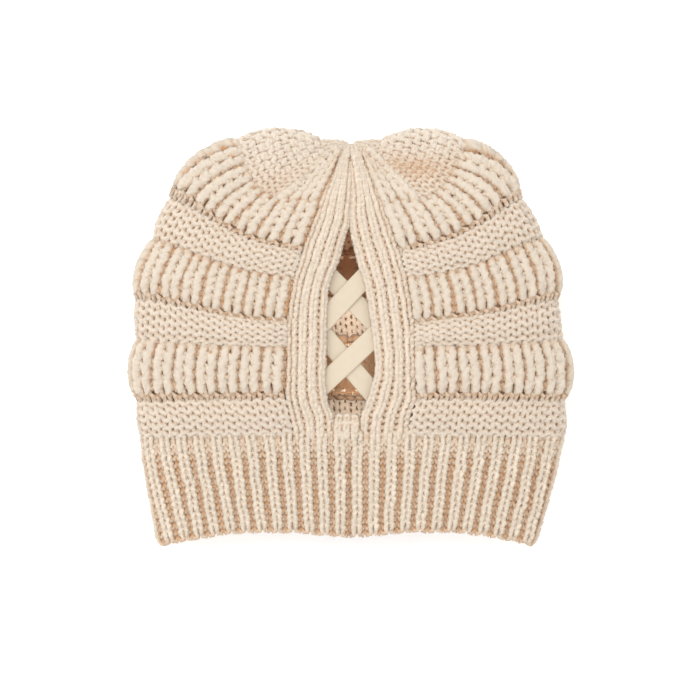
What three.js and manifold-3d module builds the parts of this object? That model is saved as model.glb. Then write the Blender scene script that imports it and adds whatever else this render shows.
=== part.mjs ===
// A chunky knitted ponytail cap, laid down on its front panel with the ponytail opening facing up.
// Millimetres. +Z is up, +Y runs from the cuff to the crown, and the origin lies under the middle
// of the cap on the surface that it rests on.
import * as THREE from "three";
import { mergeVertices } from "three/addons/utils/BufferGeometryUtils.js";
import Module from "manifold-3d";

const wasm = await Module();
wasm.setup();

// Knit and wall sizes
const CUFF_RIBS = 50;
const BODY_RIBS = 36;
const UPPER_BAND_RIBS = 28;
const HALF_WALL_OUT = 2.6;
const HALF_WALL_IN = 2.4;
const RIB_CREST = 1.2;
const RIB_VALLEY = -0.9;
const WELT_BULGE = 3.2;
const RIB_BAND_BULGE = 1.6;
const CROWN_WELT_BULGE = 2.8;
const BORDER_RISE = 0.9;
const JOIN_GAP = 0.36;
const CROWN_JOIN_GAP = 0.8;

// Lacing across the opening
const STRAP_WIDTH = 10.4;
const STRAP_THICKNESS = 0.9;
const STRAP_GAP = 0.35;

// How the flattened cap's section is rounded above and below its side folds
const UPPER_ROUNDNESS = 2.5;
const LOWER_ROUNDNESS = 3.4;
const FOLD_HEIGHT_SHARE = 0.45;
const LEAN_POWER = 4;

// One row per change of stitch, from the cuff's edge to the gathered crown, on the middle of the wall.
// halfWidth and sideY place the side folds, and lean is how far both lie to the right of that; backY
// is the course beside the opening, on the upper panel, and frontY the middle of the lower panel; low
// and high are the two panels' heights; bandHalf is half the width that the knitted border takes
// round the opening; square is how squarely the course turns from the side fold into its panel.
const SECTION_COLUMNS = [
  "at", "halfWidth", "lean", "sideY", "backY", "frontY", "low", "high", "bandHalf", "square",
];
const SECTIONS = [
  [0, 97, -2.4, -109, -100.9, -100.7, 3.6, 30, 29, 4.5],
  [1, 108.5, 0.6, -53.3, -51.7, -52, 4.4, 38, 29.8, 3],
  [1.5, 107, 0, -40.2, -39, -38.8, 4.8, 40.3, 32, 3],
  [2, 109.4, -0.2, -30.8, -29.8, -29, 5.1, 42, 34.2, 3],
  [2.5, 112.2, 0, -16.9, -17.6, -15.6, 5.1, 43, 34, 3],
  [3, 109, -0.7, -2.6, -5.2, -2.4, 5.1, 43, 33.4, 3],
  [3.5, 106.3, -1.6, 9.6, 1.7, 8.9, 5.1, 43, 33.3, 3],
  [4, 107.5, -2, 21.9, 8.6, 20, 5.1, 43, 33, 3],
  [4.5, 107.2, -1.6, 36.1, 19.1, 32.3, 5.1, 42.8, 31.7, 3],
  [5, 100.2, -1.6, 50, 29.8, 44, 5.1, 42.5, 29.8, 3],
  [5.5, 93.6, -2.5, 61.2, 37.7, 53.2, 5.2, 41.9, 27.8, 3.1],
  [6, 89, -2.8, 73, 45.5, 62, 5.4, 41, 25.3, 3.4],
  [6.5, 78.6, -1.8, 90.8, 57.6, 73, 6, 39.4, 20.8, 5],
  [7, 60.2, 0, 101, 70.6, 83, 7, 37, 15.6, 8],
  [7.5, 34.4, 0, 104.6, 86, 93, 9.5, 31, 9.5, 8],
  [8, 6, 0, 100, 98, 97.6, 14, 25, 5, 4],
].map((row) => Object.fromEntries(row.map((value, k) => [SECTION_COLUMNS[k], value])));
const CROWN_CLOSE = 7.84;

// Half the width that the border and the crown's ribs take beside the crown welt
const CROWN_RIBS = [
  { at: 7, half: 37 },
  { at: 7.5, half: 20 },
  { at: CROWN_CLOSE, half: 8.5 },
];

// Soft hollows pressed into the upper panel: centre, depth and radii
const DENTS = [
  { x: 35, y: 88, depth: 5, radiusX: 24, radiusY: 9 },
  { x: -38, y: 76, depth: 2.5, radiusX: 16, radiusY: 12 },
  { x: 0, y: 12, depth: 3, radiusX: 30, radiusY: 48 },
];
const CUFF_EDGE_DIP = 3;
const CUFF_EDGE_DIP_REACH = 0.22;

// How far the ponytail opening reaches to the left and right, seen from above, from foot to point
const OPENING = [
  { y: -41.4, left: 7.6, right: 3.4 },
  { y: -37.6, left: 9.8, right: 5.4 },
  { y: -30, left: 12.1, right: 8.6 },
  { y: -20, left: 12.7, right: 11.6 },
  { y: -11, left: 12.5, right: 12 },
  { y: 4, left: 12.1, right: 10 },
  { y: 20, left: 12, right: 8 },
  { y: 26, left: 11.2, right: 6.9 },
  { y: 33, left: 8.4, right: 4.8 },
  { y: 40, left: 5.6, right: 2.3 },
  { y: 51, left: 2.7, right: 0.1 },
  { y: 57.5, left: 1.3, right: -0.7 },
];

// Each strap's two ends, and how deep it lies at the start, the crossing and the end, in strap layers
const STRAPS = [
  { name: "lace_strap_upper_over", from: [-17, 5.7], to: [12, 36.5], layers: [0, 0, 0] },
  { name: "lace_strap_upper_under", from: [-17, 37.4], to: [17, 3.4], layers: [0, 1, 1] },
  { name: "lace_strap_lower_over", from: [-18, -27.4], to: [17, 5.2], layers: [0, 0, 0] },
  { name: "lace_strap_lower_under", from: [-17, 4.5], to: [17, -35.3], layers: [1, 1, 0] },
];

// Smooth curve through one column of the section table
function column(name, v) {
  const last = SECTIONS.length - 1;
  let i = 0;
  while (i < last - 1 && SECTIONS[i + 1].at < v) i += 1;
  const slope = (k) => {
    const a = SECTIONS[Math.max(k - 1, 0)];
    const b = SECTIONS[Math.min(k + 1, last)];
    return (b[name] - a[name]) / (b.at - a.at);
  };
  const [p, q] = [SECTIONS[i], SECTIONS[i + 1]];
  const span = q.at - p.at;
  const t = (v - p.at) / span;
  const t2 = t * t;
  const t3 = t2 * t;
  return (
    (2 * t3 - 3 * t2 + 1) * p[name] +
    (t3 - 2 * t2 + t) * span * slope(i) +
    (3 * t2 - 2 * t3) * q[name] +
    (t3 - t2) * span * slope(i + 1)
  );
}

// All the sizes of the course at v, 0 at the cuff's edge and 8 at the gather
function sectionAt(v) {
  const size = { v };
  for (const name of SECTION_COLUMNS.slice(1)) size[name] = column(name, v);
  size.foldZ = size.low + FOLD_HEIGHT_SHARE * (size.high - size.low);
  return size;
}

// How far a course has left the side fold for the middle of its panel, from 0 to 1
const courseShift = (reach, square) => Math.max(1 - reach ** square, 0) ** (1 + 1.5 / square);

// Half the width beside the crown welt at v
function crownRibsHalf(v) {
  const [foot, middle, top] = CROWN_RIBS;
  const [a, b] = v < middle.at ? [foot, middle] : [middle, top];
  return a.half + ((b.half - a.half) * (v - a.at)) / (b.at - a.at);
}

// Point on the middle of the wall: x across, and level from 1 (upper panel) to -1 (lower panel)
function wallPoint(size, x, level) {
  const reach = Math.min(Math.abs(x) / size.halfWidth, 1);
  const upper = level >= 0;
  let y = size.sideY + ((upper ? size.backY : size.frontY) - size.sideY) * courseShift(reach, size.square);
  let z = size.foldZ + level * (upper ? size.high - size.foldZ : size.foldZ - size.low);
  const cuffShare = Math.max(1 - size.v, 0);
  if (upper) {
    y -= CUFF_EDGE_DIP * cuffShare * Math.exp(-((reach / CUFF_EDGE_DIP_REACH) ** 2));
    for (const dent of DENTS) {
      const away = ((x - dent.x) / dent.radiusX) ** 2 + ((y - dent.y) / dent.radiusY) ** 2;
      z -= dent.depth * level * Math.exp(-away);
    }
  }
  return new THREE.Vector3(x + size.lean * reach ** LEAN_POWER, y, z);
}

// Point on the upper panel at a given x
function upperPoint(v, x) {
  const size = sectionAt(v);
  const reach = Math.min(Math.abs(x) / size.halfWidth, 1);
  return wallPoint(size, x, Math.pow(1 - reach ** UPPER_ROUNDNESS, 1 / UPPER_ROUNDNESS));
}

// Point at a turn from the top of the section (0) round the right fold and under to the left fold
function turnPoint(size, turn) {
  const [across, up] = [Math.sin(turn), Math.cos(turn)];
  const power = 2 / (up >= 0 ? UPPER_ROUNDNESS : LOWER_ROUNDNESS);
  const x = size.halfWidth * Math.sign(across) * Math.abs(across) ** power;
  return wallPoint(size, x, Math.sign(up) * Math.abs(up) ** power);
}

// Where a band starts beside the middle of the upper panel, by v
const NO_EDGE = null;
const borderEdge = (v) => sectionAt(v).bandHalf + JOIN_GAP / 2;
const crownWeltEdge = (v) => crownRibsHalf(v) + CROWN_JOIN_GAP / 2;

// Sampler of one course: share 0 to 1 of its length, from the right of the opening to the left
const TURN_STEPS = 360;
const samplers = new Map();
function course(v, edgeAt) {
  const key = v + ":" + (edgeAt ? edgeAt.name : "closed");
  if (samplers.has(key)) return samplers.get(key);
  const size = sectionAt(v);
  const edge = edgeAt ? edgeAt(v) / size.halfWidth : 0;
  const start = Math.asin(Math.min(edge, 1) ** (UPPER_ROUNDNESS / 2));
  const points = [];
  const lengths = [0];
  for (let i = 0; i <= TURN_STEPS; i += 1) {
    points.push(turnPoint(size, start + ((2 * Math.PI - 2 * start) * i) / TURN_STEPS));
    if (i > 0) lengths.push(lengths[i - 1] + points[i].distanceTo(points[i - 1]));
  }
  const sampler = (share) => {
    const target = Math.min(Math.max(share, 0), 1) * lengths[TURN_STEPS];
    let [low, high] = [0, TURN_STEPS];
    while (high - low > 1) {
      const middle = (low + high) >> 1;
      if (lengths[middle] <= target) low = middle;
      else high = middle;
    }
    const part = (target - lengths[low]) / (lengths[high] - lengths[low]);
    return points[low].clone().lerp(points[high], part);
  };
  samplers.set(key, sampler);
  return sampler;
}

// The wall's outward normal from two directions along it
const STEP_V = 0.01;
const STEP_SHARE = 0.004;
const STEP_X = 0.5;
function normalFrom(along, across) {
  return new THREE.Vector3().crossVectors(along, across).normalize();
}

// Moves a point of the wall along its normal; nothing sinks into the surface that the cap lies on
function offsetPoint(point, normal, distance) {
  const moved = point.clone().addScaledVector(normal, distance);
  moved.z = Math.max(moved.z, 0);
  return moved;
}

// Point of a course band: v along the cap, share round it, distance from the middle of the wall
function bandPoint(v, share, distance, edgeAt) {
  const closed = edgeAt === NO_EDGE;
  const [before, after] = closed
    ? [share - STEP_SHARE, share + STEP_SHARE].map((s) => (s + 1) % 1)
    : [Math.max(share - STEP_SHARE, 0), Math.min(share + STEP_SHARE, 1)];
  const here = course(v, edgeAt);
  const along = here(after).sub(here(before));
  const across = course(v + STEP_V, edgeAt)(share).sub(course(v - STEP_V, edgeAt)(share));
  return offsetPoint(here(share), normalFrom(along, across), distance);
}

// Half of the gap between two bands, as a step of v
function gapStep(v) {
  const reach = [0.01, 0.25, 0.5].map((share) =>
    course(v + STEP_V, NO_EDGE)(share).distanceTo(course(v - STEP_V, NO_EDGE)(share)),
  );
  return (JOIN_GAP / 2) * ((2 * STEP_V) / Math.min(...reach));
}

// Closed surface swept from one loop of points to the next; open sweeps get end caps
function sweep(loops, isClosed) {
  const size = loops[0].length;
  const positions = loops.flatMap((loop) => loop.flatMap((p) => [p.x, p.y, p.z]));
  const index = [];
  const spans = isClosed ? loops.length : loops.length - 1;
  for (let i = 0; i < spans; i += 1) {
    const next = (i + 1) % loops.length;
    for (let k = 0; k < size; k += 1) {
      const [a, b] = [i * size + k, i * size + ((k + 1) % size)];
      const [c, d] = [next * size + k, next * size + ((k + 1) % size)];
      index.push(a, c, b, b, c, d);
    }
  }
  return { positions, index, size, last: (loops.length - 1) * size };
}

// Caps a loop that has an outer chain of points followed by an inner one
function capLoop(index, start, outerCount, size, flip) {
  let [outer, inner] = [0, size - 1];
  while (outer < outerCount - 1 || inner > outerCount) {
    const outerDone = outer / (outerCount - 1);
    const innerDone = (size - 1 - inner) / Math.max(size - 1 - outerCount, 1);
    const stepOuter = inner <= outerCount || (outer < outerCount - 1 && outerDone <= innerDone);
    const triangle = stepOuter ? [outer, outer + 1, inner] : [outer, inner - 1, inner];
    if (stepOuter) outer += 1;
    else inner -= 1;
    if (flip) triangle.reverse();
    index.push(...triangle.map((k) => start + k));
  }
}

function geometryOf(positions, index) {
  const geometry = new THREE.BufferGeometry();
  geometry.setAttribute("position", new THREE.Float32BufferAttribute(positions, 3));
  geometry.setIndex(index);
  geometry.computeVertexNormals();
  return geometry;
}

// A band of knitting between two courses: outerAt gives the distance of its outer face
function bandGeometry({ from, to, shares, rows, innerRows, edgeAt, outerAt }) {
  const closed = edgeAt === NO_EDGE;
  const [v0, v1] = [from + (from > 0 ? gapStep(from) : 0), to - gapStep(to)];
  const vAt = (row) => v0 + (v1 - v0) * row;
  const loops = shares.map((share) => [
    ...rows.map((row) => bandPoint(vAt(row), share, outerAt(row, share), edgeAt)),
    ...innerRows.map((row) => bandPoint(vAt(row), share, -HALF_WALL_IN, edgeAt)),
  ]);
  const { positions, index, size, last } = sweep(loops, closed);
  if (!closed) {
    capLoop(index, 0, rows.length, size, false);
    capLoop(index, last, rows.length, size, true);
  }
  return geometryOf(positions, index);
}

// Positions round a course at which ribs are drawn: each has a wide crest and a narrow valley
const RIB_SHAPE = [
  { at: 0, height: RIB_CREST },
  { at: 0.6, height: RIB_CREST },
  { at: 0.8, height: RIB_VALLEY },
];
function ribShares(ribs, closed) {
  const shares = [];
  for (let rib = 0; rib < ribs; rib += 1) {
    for (const corner of RIB_SHAPE) shares.push((rib + corner.at) / ribs);
  }
  if (!closed) shares.push(1);
  return shares;
}
function ribHeight(ribs, share) {
  const phase = (share * ribs) % 1;
  const valley = RIB_SHAPE[2];
  return Math.abs(phase - valley.at) < (valley.at - RIB_SHAPE[1].at) / 2 ? valley.height : RIB_CREST;
}

const evenShares = (count) => Array.from({ length: count + 1 }, (_, i) => i / count);

// Cross-section of a roll, 0 at its two long edges and 1 along its middle
const ROLL_FULLNESS = 0.7;
const roll = (row) => Math.sin(Math.PI * row) ** ROLL_FULLNESS;

// How a welt's height falls off where it meets the border
const WELT_END = { height: 0.25, reach: 0.03 };
const endTaper = (share) => {
  const t = Math.min(Math.min(share, 1 - share) / WELT_END.reach, 1);
  return WELT_END.height + (1 - WELT_END.height) * Math.sqrt(t * (2 - t));
};

// The folded-over looking 1x1 rib cuff, one closed ring
const CUFF_ROWS = [0, 0.06, 0.9, 1];
const RIB_END_HEIGHT = 0.3;
function ribbedCuff() {
  const fade = (row) => (row === 0 || row === 1 ? RIB_END_HEIGHT : 1);
  return bandGeometry({
    from: 0,
    to: 1,
    shares: ribShares(CUFF_RIBS, true),
    rows: CUFF_ROWS,
    innerRows: [1, 0],
    edgeAt: NO_EDGE,
    outerAt: (row, share) => HALF_WALL_OUT + ribHeight(CUFF_RIBS, share) * fade(row),
  });
}

// A band of wide ribs between two welts, open at the ponytail opening's border
const RIB_BAND_ROWS = [0, 0.22, 0.78, 1];
function ribBand(from, to, ribs) {
  const fade = (row) => RIB_END_HEIGHT + (1 - RIB_END_HEIGHT) * roll(row);
  return bandGeometry({
    from,
    to,
    shares: ribShares(ribs, false),
    rows: RIB_BAND_ROWS,
    innerRows: [1, 0],
    edgeAt: borderEdge,
    outerAt: (row, share) =>
      HALF_WALL_OUT + RIB_BAND_BULGE * roll(row) + ribHeight(ribs, share) * fade(row),
  });
}

// A padded welt: a roll of purl stitches that stands out between two rib bands
const WELT_SEGMENTS = 48;
const WELT_ROWS = [0, 0.12, 0.36, 0.64, 0.88, 1];
function welt(from, to, bulge, edgeAt) {
  return bandGeometry({
    from,
    to,
    shares: evenShares(WELT_SEGMENTS),
    rows: WELT_ROWS,
    innerRows: [1, 0.5, 0],
    edgeAt,
    outerAt: (row, share) => HALF_WALL_OUT + bulge * roll(row) * endTaper(share),
  });
}

// Solid from a geometry, for cutting
function solidOf(geometry) {
  const bare = geometry.index ? geometry.toNonIndexed() : geometry.clone();
  bare.deleteAttribute("normal");
  bare.deleteAttribute("uv");
  const merged = mergeVertices(bare, 1e-4);
  return new wasm.Manifold(
    new wasm.Mesh({
      numProp: 3,
      vertProperties: merged.attributes.position.array,
      triVerts: new Uint32Array(merged.index.array),
    }),
  );
}

// The opening's outline as a closed shape, both sides from one table
function openingShape() {
  const shape = new THREE.Shape();
  const right = OPENING.map((row) => new THREE.Vector2(row.right, row.y));
  const left = OPENING.map((row) => new THREE.Vector2(-row.left, row.y)).reverse();
  shape.setFromPoints([...right, ...left]);
  return shape;
}

// A patch of the upper panel between two courses: leftAt and rightAt give its sides by v
function upperPatch({ from, to, leftAt, rightAt, columns, rows, riseAt }) {
  const [v0, v1] = [from + gapStep(from), to - gapStep(to)];
  const at = (v, across, distance) => {
    const x = leftAt(v) + (rightAt(v) - leftAt(v)) * across;
    const along = upperPoint(v, x + STEP_X).sub(upperPoint(v, x - STEP_X));
    const up = upperPoint(v + STEP_V, x).sub(upperPoint(v - STEP_V, x));
    return offsetPoint(upperPoint(v, x), normalFrom(along, up), distance);
  };
  const loops = [];
  for (const row of rows) {
    const v = v0 + (v1 - v0) * row;
    const top = columns.map((across, k) => at(v, across, HALF_WALL_OUT + riseAt(v, k)));
    const bottom = columns.filter((_, k) => k % 2 === 0).map((across) => at(v, across, -HALF_WALL_IN));
    loops.push([...bottom, ...top.reverse()]);
  }
  const { positions, index, size, last } = sweep(loops, false);
  const innerCount = loops[0].length - columns.length;
  capLoop(index, 0, innerCount, size, false);
  capLoop(index, last, innerCount, size, true);
  return geometryOf(positions, index);
}

// The knitted border: four wales each side of the opening, joined at its foot and above its point
const BORDER_COLUMNS = 16;
const BORDER_ROWS = 26;
const BORDER_WIDEST = 34.2;
const CUTTER_HEIGHT = 40;
const CUTTER_FLOOR = 24;
function openingBorder() {
  const sideAt = (v) => sectionAt(v).bandHalf - JOIN_GAP / 2;
  const panel = upperPatch({
    from: 1,
    to: CROWN_CLOSE,
    leftAt: (v) => -sideAt(v),
    rightAt: sideAt,
    columns: evenShares(BORDER_COLUMNS),
    rows: evenShares(BORDER_ROWS),
    riseAt: (v, k) => (k % 2 === 1 ? (BORDER_RISE * sideAt(v)) / BORDER_WIDEST : 0),
  });
  const cutter = new THREE.ExtrudeGeometry(openingShape(), { depth: CUTTER_HEIGHT, bevelEnabled: false });
  cutter.translate(0, 0, CUTTER_FLOOR);
  const cut = solidOf(panel).subtract(solidOf(cutter)).getMesh();
  return geometryOf(Array.from(cut.vertProperties), Array.from(cut.triVerts));
}

// The ribs that run up beside the border to the gather, on the right (1) or left (-1)
const CROWN_RIB_COUNT = 2;
const CROWN_RIB_TAPER = 0.6;
function crownRibs(side) {
  const near = (v) => side * (sectionAt(v).bandHalf + JOIN_GAP / 2);
  const far = (v) => side * (crownRibsHalf(v) - CROWN_JOIN_GAP / 2);
  const crest = RIB_CREST + RIB_BAND_BULGE;
  return upperPatch({
    from: 7,
    to: CROWN_CLOSE,
    leftAt: side > 0 ? near : far,
    rightAt: side > 0 ? far : near,
    columns: evenShares(CROWN_RIB_COUNT * 2),
    rows: WELT_ROWS,
    riseAt: (v, k) => (k % 2 === 1 ? crest : RIB_VALLEY) * (1 - (v - 7) * CROWN_RIB_TAPER),
  });
}

// The crown's gather: the last course drawn together into a small closed button of knitting
const GATHER_SEGMENTS = 20;
const GATHER_LAST = 7.95;
const GATHER_POLE_RISE = 1.6;
function crownGather() {
  const v0 = CROWN_CLOSE + gapStep(CROWN_CLOSE);
  const rings = [
    { v: v0, distance: HALF_WALL_OUT },
    { v: GATHER_LAST, distance: HALF_WALL_OUT - JOIN_GAP },
    { v: GATHER_LAST, distance: -HALF_WALL_IN / 2 },
    { v: v0, distance: -HALF_WALL_IN },
  ];
  const positions = [];
  for (const ring of rings) {
    for (let i = 0; i < GATHER_SEGMENTS; i += 1) {
      const p = bandPoint(ring.v, i / GATHER_SEGMENTS, ring.distance, NO_EDGE);
      positions.push(p.x, p.y, p.z);
    }
  }
  const outerPole = positions.length / 3;
  const innerPole = outerPole + 1;
  const close = sectionAt(8);
  const poleZ = (close.low + close.high) / 2;
  positions.push(0, close.sideY + GATHER_POLE_RISE, poleZ);
  positions.push(0, close.sideY - HALF_WALL_IN, poleZ);
  const index = [];
  const n = GATHER_SEGMENTS;
  const band = (a, b) => {
    for (let i = 0; i < n; i += 1) {
      const j = (i + 1) % n;
      index.push(a * n + i, a * n + j, b * n + i, a * n + j, b * n + j, b * n + i);
    }
  };
  band(0, 1);
  band(2, 3);
  band(3, 0);
  for (let i = 0; i < n; i += 1) {
    const j = (i + 1) % n;
    index.push(n + i, n + j, outerPole);
    index.push(2 * n + j, 2 * n + i, innerPole);
  }
  return geometryOf(positions, index);
}

// The v of the upper panel's course that passes over a point
const COURSE_SEARCH_STEPS = 30;
function courseOver(x, y) {
  let [low, high] = [1, CROWN_CLOSE];
  for (let i = 0; i < COURSE_SEARCH_STEPS; i += 1) {
    const middle = (low + high) / 2;
    if (upperPoint(middle, x).y < y) low = middle;
    else high = middle;
  }
  return (low + high) / 2;
}

// A flat elastic strap, held flat against the inside of the border at both ends
const STRAP_STEPS = 12;
const SETTLE = { start: 0.04, done: 0.22 };
function strapGeometry({ from, to, layers }) {
  const start = new THREE.Vector2(...from);
  const end = new THREE.Vector2(...to);
  const side = end.clone().sub(start).normalize();
  side.set(-side.y, side.x).multiplyScalar(STRAP_WIDTH / 2);
  const layerAt = (t) => {
    const [first, middle, last] = layers;
    const near = Math.min(t, 1 - t);
    const blend = THREE.MathUtils.smoothstep(near, SETTLE.start, SETTLE.done);
    return THREE.MathUtils.lerp(t < 0.5 ? first : last, middle, blend);
  };
  const loops = [];
  for (let i = 0; i <= STRAP_STEPS; i += 1) {
    const t = i / STRAP_STEPS;
    const depth = HALF_WALL_IN + STRAP_GAP + layerAt(t) * (STRAP_THICKNESS + STRAP_GAP);
    const centre = start.clone().lerp(end, t);
    const [left, right] = [centre.clone().add(side), centre.clone().sub(side)];
    const surfaceZ = (p) => upperPoint(courseOver(p.x, p.y), p.x).z - depth;
    const across = [right, centre, left];
    loops.push([
      ...across.map((p) => new THREE.Vector3(p.x, p.y, surfaceZ(p))),
      ...across.reverse().map((p) => new THREE.Vector3(p.x, p.y, surfaceZ(p) - STRAP_THICKNESS)),
    ]);
  }
  const { positions, index, size, last } = sweep(loops, false);
  capLoop(index, 0, 3, size, false);
  capLoop(index, last, 3, size, true);
  return geometryOf(positions, index);
}

// Finishes
const creamKnit = new THREE.MeshStandardMaterial({ color: 0xe6d2b8, roughness: 0.95, metalness: 0 });
const paleKnit = new THREE.MeshStandardMaterial({ color: 0xe8d6be, roughness: 0.95, metalness: 0 });
const strapCloth = new THREE.MeshStandardMaterial({ color: 0xead9c2, roughness: 0.7, metalness: 0 });

const cap = new THREE.Group();
function addPiece(name, geometry, material) {
  const mesh = new THREE.Mesh(geometry, material);
  mesh.name = name;
  cap.add(mesh);
}

addPiece("ribbed_cuff", ribbedCuff(), creamKnit);
addPiece("lower_welt", welt(1, 2, WELT_BULGE, borderEdge), paleKnit);
addPiece("lower_rib_band", ribBand(2, 3, BODY_RIBS), creamKnit);
addPiece("middle_welt", welt(3, 4, WELT_BULGE, borderEdge), paleKnit);
addPiece("middle_rib_band", ribBand(4, 5, BODY_RIBS), creamKnit);
addPiece("upper_welt", welt(5, 6, WELT_BULGE, borderEdge), paleKnit);
addPiece("upper_rib_band", ribBand(6, 7, UPPER_BAND_RIBS), creamKnit);
addPiece("crown_welt", welt(7, CROWN_CLOSE, CROWN_WELT_BULGE, crownWeltEdge), paleKnit);
addPiece("crown_ribs_right", crownRibs(1), creamKnit);
addPiece("crown_ribs_left", crownRibs(-1), creamKnit);
addPiece("crown_gather", crownGather(), paleKnit);
addPiece("opening_border", openingBorder(), creamKnit);
for (const strap of STRAPS) addPiece(strap.name, strapGeometry(strap), strapCloth);

export default cap;
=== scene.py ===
import math

import bpy
import numpy as np
from bpy.props import FloatProperty, FloatVectorProperty, IntProperty, PointerProperty
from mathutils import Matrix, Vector


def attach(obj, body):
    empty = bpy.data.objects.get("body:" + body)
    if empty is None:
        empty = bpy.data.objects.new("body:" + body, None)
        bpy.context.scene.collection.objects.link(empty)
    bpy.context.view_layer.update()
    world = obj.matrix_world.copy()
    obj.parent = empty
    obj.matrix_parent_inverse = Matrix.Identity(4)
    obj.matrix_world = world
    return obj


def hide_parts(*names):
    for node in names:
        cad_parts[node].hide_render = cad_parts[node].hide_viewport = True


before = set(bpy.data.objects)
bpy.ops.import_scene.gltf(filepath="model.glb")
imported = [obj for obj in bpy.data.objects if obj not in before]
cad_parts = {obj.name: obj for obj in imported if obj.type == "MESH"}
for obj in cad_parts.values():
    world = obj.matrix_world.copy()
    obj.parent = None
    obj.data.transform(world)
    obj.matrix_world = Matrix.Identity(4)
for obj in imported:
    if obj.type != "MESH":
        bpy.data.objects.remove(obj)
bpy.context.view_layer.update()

bl_info = {
    "name": "Knitted ponytail cap",
    "version": (1, 0, 0),
    "blender": (4, 5, 0),
    "location": "3D View > Sidebar > Knitted cap",
    "description": "Knits a chunky ponytail cap course by course round its packed solids",
    "category": "Object",
}

MM = 0.001
BODY = "root"

# The wall of the cap, in millimetres, on the middle of the knitting. One row for each change of
# stitch from the cuff's edge to the gathered crown: the side fold and how far it leans to the right,
# the course beside the opening (back) and the middle of the lower panel (front), the two panels'
# heights, half the width of the border round the opening, and how squarely a course turns from the
# fold into its panel.
SECTION_COLUMNS = (
    "at", "half_width", "lean", "side_y", "back_y", "front_y", "low", "high", "band_half", "square")
SECTIONS = np.array([
    (0, 97, -2.4, -109, -100.9, -100.7, 3.6, 30, 29, 4.5),
    (1, 108.5, 0.6, -53.3, -51.7, -52, 4.4, 38, 29.8, 3),
    (1.5, 107, 0, -40.2, -39, -38.8, 4.8, 40.3, 32, 3),
    (2, 109.4, -0.2, -30.8, -29.8, -29, 5.1, 42, 34.2, 3),
    (2.5, 112.2, 0, -16.9, -17.6, -15.6, 5.1, 43, 34, 3),
    (3, 109, -0.7, -2.6, -5.2, -2.4, 5.1, 43, 33.4, 3),
    (3.5, 106.3, -1.6, 9.6, 1.7, 8.9, 5.1, 43, 33.3, 3),
    (4, 107.5, -2, 21.9, 8.6, 20, 5.1, 43, 33, 3),
    (4.5, 107.2, -1.6, 36.1, 19.1, 32.3, 5.1, 42.8, 31.7, 3),
    (5, 100.2, -1.6, 50, 29.8, 44, 5.1, 42.5, 29.8, 3),
    (5.5, 93.6, -2.5, 61.2, 37.7, 53.2, 5.2, 41.9, 27.8, 3.1),
    (6, 89, -2.8, 73, 45.5, 62, 5.4, 41, 25.3, 3.4),
    (6.5, 78.6, -1.8, 90.8, 57.6, 73, 6, 39.4, 20.8, 5),
    (7, 60.2, 0, 101, 70.6, 83, 7, 37, 15.6, 8),
    (7.5, 34.4, 0, 104.6, 86, 93, 9.5, 31, 9.5, 8),
    (8, 6, 0, 100, 98, 97.6, 14, 25, 5, 4),
])
CROWN_CLOSE, GATHER_CLOSE = 7.84, 7.97
CROWN_RIBS = ((7, 37), (7.5, 20), (CROWN_CLOSE, 8.5))
# Hollows of the upper panel, the crown's two first: x, y, depth and the two radii
DENTS = ((35, 88, 5, 24, 9), (-38, 76, 2.5, 16, 12), (0, 12, 3, 30, 48))
# Painted shade in the crown's hollows, as a share of their depth, and the height above which it is painted
HOLLOW_SHADE, HOLLOW_FLOOR = 0.17, 20
CUFF_EDGE_DIP = 3
CUFF_EDGE_DIP_REACH = 0.22
UPPER_ROUNDNESS = 2.5
LOWER_ROUNDNESS = 3.4
FOLD_HEIGHT_SHARE = 0.45
FOLD_TURN = 1.5
LEAN_POWER = 4
COURSE_STEPS = 721
HALF_WALL_OUT = 2.6
HALF_WALL_IN = 2.4
WELT_STITCH, CROWN_STITCH = (6.1, 4.0), (5.0, 3.3)
BAND_UNDERLAP = 0.05
KNIT_LIFT = 0.5
BACKING_THICKNESS, BACKING_DEPTH = 0.7, -0.3
LOWEST_BACKING = 0.2

# The opening, in millimetres, from its foot to its point: y, and how far it reaches left and right
OPENING = np.array([
    (-41.4, 7.6, 3.4), (-37.6, 9.8, 5.4), (-30, 12.1, 8.6), (-20, 12.7, 11.6), (-11, 12.5, 12),
    (4, 12.1, 10), (20, 12, 8), (26, 11.2, 6.9), (33, 8.4, 4.8), (40, 5.6, 2.3), (51, 2.7, 0.1),
    (57.5, 1.3, -0.7),
])

# Straps of the lacing, in millimetres: both ends, and the depth in layers at start, crossing and end
STRAPS = {
    "lace_strap_upper_over": ((-17, 5.7), (12, 36.5), (0, 0, 0)),
    "lace_strap_upper_under": ((-17, 37.4), (17, 3.4), (0, 1, 1)),
    "lace_strap_lower_over": ((-18, -27.4), (17, 5.2), (0, 0, 0)),
    "lace_strap_lower_under": ((-17, 4.5), (17, -35.3), (1, 1, 0)),
}


# Shape of the wall

def column(name, v):
    """Smooth curve through one column of the section table, at every v."""
    at = SECTIONS[:, 0]
    values = SECTIONS[:, SECTION_COLUMNS.index(name)]
    last = len(at) - 1
    v = np.asarray(v, float)
    i = np.clip(np.searchsorted(at, v, side="left") - 1, 0, last - 1)
    before, after = np.maximum(np.arange(last + 1) - 1, 0), np.minimum(np.arange(last + 1) + 1, last)
    slope = (values[after] - values[before]) / (at[after] - at[before])
    span = at[i + 1] - at[i]
    t = (v - at[i]) / span
    return (
        (2 * t**3 - 3 * t**2 + 1) * values[i]
        + (t**3 - 2 * t**2 + t) * span * slope[i]
        + (3 * t**2 - 2 * t**3) * values[i + 1]
        + (t**3 - t**2) * span * slope[i + 1]
    )


def pressed(x, y, dent):
    """How deep a hollow is at x, y, as a share of its depth."""
    dent_x, dent_y, _, radius_x, radius_y = dent
    return np.exp(-(((x - dent_x) / radius_x) ** 2 + ((y - dent_y) / radius_y) ** 2))


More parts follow.
